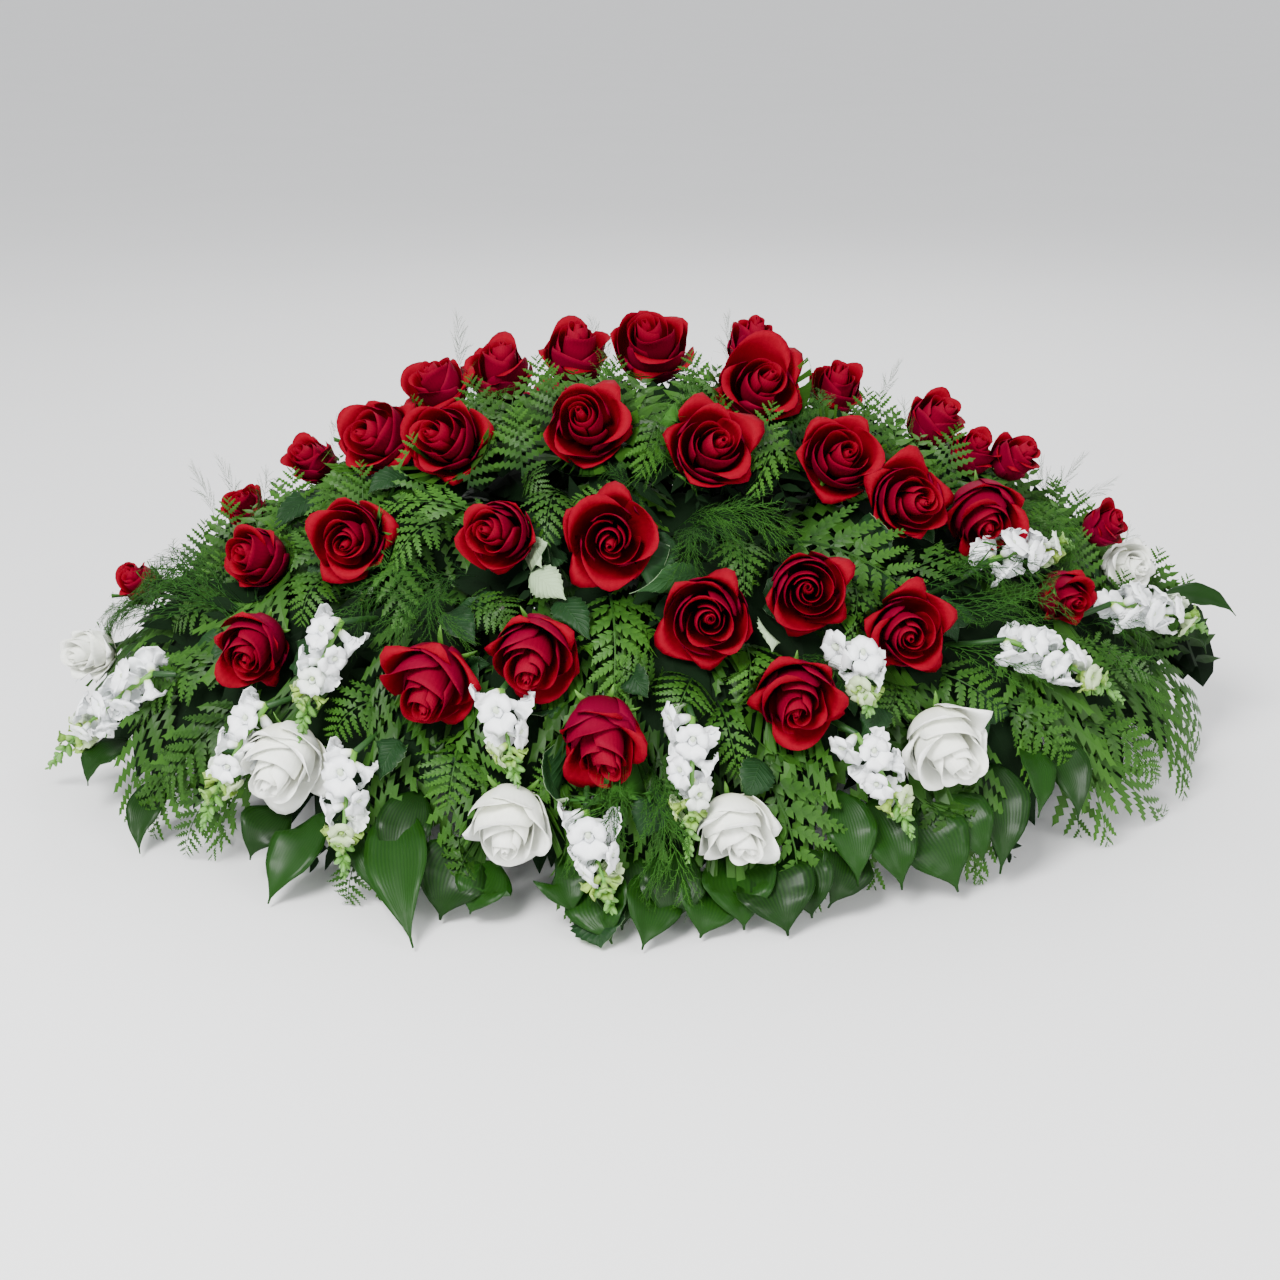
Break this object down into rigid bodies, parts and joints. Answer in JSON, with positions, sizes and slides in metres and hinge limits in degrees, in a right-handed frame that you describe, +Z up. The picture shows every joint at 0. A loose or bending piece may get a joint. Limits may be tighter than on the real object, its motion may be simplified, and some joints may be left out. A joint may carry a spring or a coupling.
{
  "type": "casket spray",
  "caption": "Low, long mound of red roses, white roses and white snapdragons in fern and broad leaves, stemmed in wet floral foam on a flat plastic saddle.",
  "frame": {"origin": "middle of the saddle's underside, on the surface that it stands on", "axes": "+X along the spray to the viewer's right, +Z up, -Y to the front"},
  "size_m": [1.0805, 0.7111, 0.4042],
  "materials": {
    "red_petals": "velvety scarlet petals, crimson on the back",
    "white_petals": "smooth cool white petals with a cream heart",
    "snapdragon_florets": "white florets with yellow-green throats and green buds",
    "foliage": "waxy green leaves",
    "wet_foam": "wet, finely porous foam",
    "saddle_plastic": "moulded satin plastic"
  },
  "bodies": {
    "root": {"saddle": "saddle_plastic", "foam": "wet_foam", "greenery_front_left": "foliage", "greenery_front_middle": "foliage", "greenery_front_right": "foliage", "greenery_back_left": "foliage", "greenery_back_middle": "foliage", "greenery_back_right": "foliage", "red_rose_01_02_03_04": "red_petals", "red_rose_05_06": "red_petals", "red_rose_07": "red_petals", "red_rose_08": "red_petals", "red_rose_09": "red_petals", "red_rose_10_11": "red_petals", "red_rose_12": "red_petals", "red_rose_13_14_18": "red_petals", "red_rose_15_16_17": "red_petals", "red_rose_19": "red_petals", "red_rose_20": "red_petals", "red_rose_21": "red_petals", "red_rose_22": "red_petals", "red_rose_23": "red_petals", "red_rose_24": "red_petals", "red_rose_25": "red_petals", "red_rose_26": "red_petals", "red_rose_27": "red_petals", "red_rose_28": "red_petals", "red_rose_29": "red_petals", "red_rose_30": "red_petals", "red_rose_31": "red_petals", "red_rose_32": "red_petals", "red_rose_33": "red_petals", "red_rose_34": "red_petals", "red_rose_35": "red_petals", "red_rose_36": "red_petals", "red_rose_37": "red_petals", "red_rose_38": "red_petals", "red_rose_39": "red_petals", "white_rose_01": "white_petals", "white_rose_02": "white_petals", "white_rose_03": "white_petals", "white_rose_04": "white_petals", "white_rose_05": "white_petals", "white_rose_06": "white_petals", "white_rose_07": "white_petals", "white_rose_08": "white_petals", "snapdragon_01": "snapdragon_florets", "snapdragon_02": "snapdragon_florets", "snapdragon_03": "snapdragon_florets", "snapdragon_04": "snapdragon_florets", "snapdragon_05": "snapdragon_florets", "snapdragon_06": "snapdragon_florets", "snapdragon_07": "snapdragon_florets", "snapdragon_08": "snapdragon_florets", "snapdragon_09": "snapdragon_florets", "snapdragon_10": "snapdragon_florets", "snapdragon_11": "snapdragon_florets", "snapdragon_12": "snapdragon_florets", "snapdragon_13": "snapdragon_florets", "snapdragon_14": "snapdragon_florets"}
  },
  "joints": []
}
